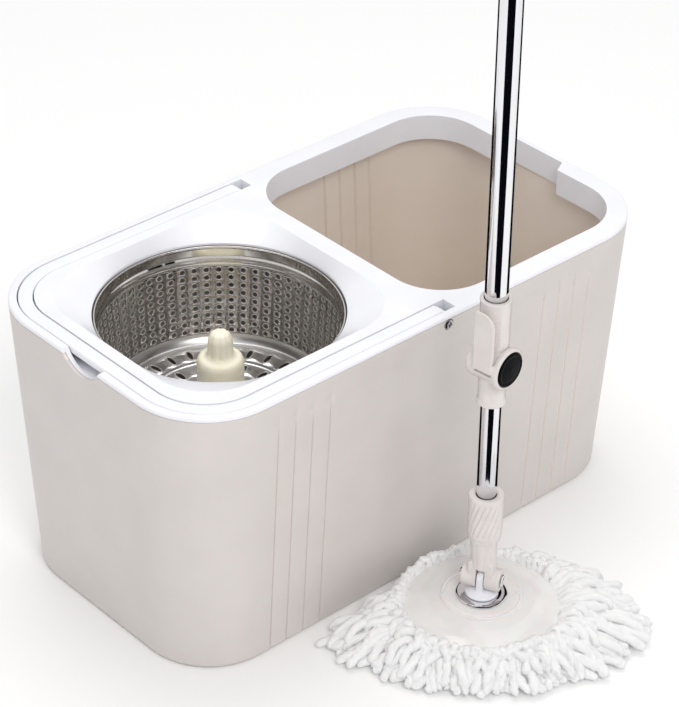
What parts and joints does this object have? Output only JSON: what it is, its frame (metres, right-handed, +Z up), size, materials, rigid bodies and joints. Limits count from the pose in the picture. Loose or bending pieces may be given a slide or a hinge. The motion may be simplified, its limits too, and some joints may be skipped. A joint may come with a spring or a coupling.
{
  "type": "spin mop with bucket",
  "caption": "Rectangular two-compartment spin mop bucket with spinning metal basket, fold-down handle and telescopic hand-press mop.",
  "frame": {"origin": "centre of the bucket's flat underside, on the floor", "axes": "+Z up, +X along the bucket from the basket towards the rinse compartment, the mop stands at -Y"},
  "size_m": [0.47, 0.4354, 1.016],
  "materials": {
    "shell_plastic": "satin moulded",
    "white_plastic": "semi-gloss",
    "plate_plastic": "slightly translucent gloss",
    "mop_plastic": "satin",
    "ivory_plastic": "satin",
    "black_plastic": "high gloss",
    "grey_plastic": "moulded",
    "stainless": "polished",
    "chrome": "mirror",
    "steel": "zinc plated",
    "bronze": "sintered",
    "rubber": "matte",
    "fringe_yarn": "fluffy microfibre"
  },
  "bodies": {
    "bucket": {"bucket_shell": "shell_plastic", "divider_panel": "shell_plastic", "top_frame": "white_plastic", "foot_pad_1": "rubber", "foot_pad_2": "rubber", "foot_pad_3": "rubber", "foot_pad_4": "rubber", "handle_screw_near": "steel", "handle_screw_far": "steel", "pedestal": "grey_plastic", "spindle_shaft": "steel", "thrust_washer": "steel", "retaining_clip": "steel"},
    "handle": {"carry_handle": "white_plastic"},
    "plug": {"drain_plug": "chrome", "drain_seal": "rubber"},
    "basket": {"basket_drum": "stainless", "hub_lower": "grey_plastic", "hub_flange": "white_plastic", "hub_screw_1": "steel", "hub_screw_2": "steel", "hub_screw_3": "steel", "drive_spindle": "ivory_plastic", "lower_bush": "bronze", "upper_bush": "bronze"},
    "mop_head": {"mop_fringe": "fringe_yarn", "fringe_ring": "white_plastic", "mop_plate": "plate_plastic", "plate_washer": "chrome", "tongue": "white_plastic", "tongue_nut": "steel"},
    "lower_pole": {"fork": "mop_plastic", "pivot_pin": "chrome", "grip_collar": "mop_plastic", "lower_tube": "chrome", "inner_tube": "chrome", "drive_nut": "grey_plastic"},
    "guide": {"guide_bush": "white_plastic"},
    "upper_pole": {"upper_tube": "chrome", "lock_housing": "mop_plastic", "housing_cap": "mop_plastic", "brake_pad": "rubber", "twisted_rod": "steel", "rod_anchor": "grey_plastic", "top_grip": "mop_plastic", "hanging_cap": "mop_plastic"},
    "lever": {"lock_lever": "mop_plastic", "lever_cap": "black_plastic", "lever_pin": "steel"}
  },
  "joints": [
    {"name": "handle_swing", "type": "hinge", "parent": "bucket", "child": "handle", "pos_m": [0.006, 0, 0.2292], "axis": [0, 1, 0], "range_deg": [0, 110]},
    {"name": "plug_pull", "type": "slide", "parent": "bucket", "child": "plug", "axis": [-1, 0, 0], "range_m": [0, 0.03]},
    {"name": "basket_spin", "type": "hinge", "parent": "bucket", "child": "basket", "pos_m": [-0.1055, 0, 0.115], "axis": [0, 0, 1], "continuous": true},
    {"name": "mop_lift", "type": "slide", "parent": "bucket", "child": "mop_head", "axis": [0, 0, 1], "range_m": [0, 0.3]},
    {"name": "pole_tilt", "type": "hinge", "parent": "mop_head", "child": "lower_pole", "pos_m": [-0.0185, -0.199, 0.049], "axis": [0.454, -0.891, 0], "range_deg": [-20, 80]},
    {"name": "pole_spin", "type": "hinge", "parent": "lower_pole", "child": "guide", "pos_m": [-0.0185, -0.199, 0.606], "axis": [0, 0, 1], "range_deg": [-1, 721]},
    {"name": "pole_extend", "type": "slide", "parent": "guide", "child": "upper_pole", "axis": [0, 0, 1], "range_m": [0, 0.2]},
    {"name": "lever_lock", "type": "hinge", "parent": "upper_pole", "child": "lever", "pos_m": [-0.0185, -0.199, 0.243], "axis": [0.1045, -0.9945, 0], "range_deg": [0, 46]}
  ],
  "couplings": [
    {"joint": "pole_spin", "follows": "pole_extend", "rad_per_m": 62.832}
  ]
}
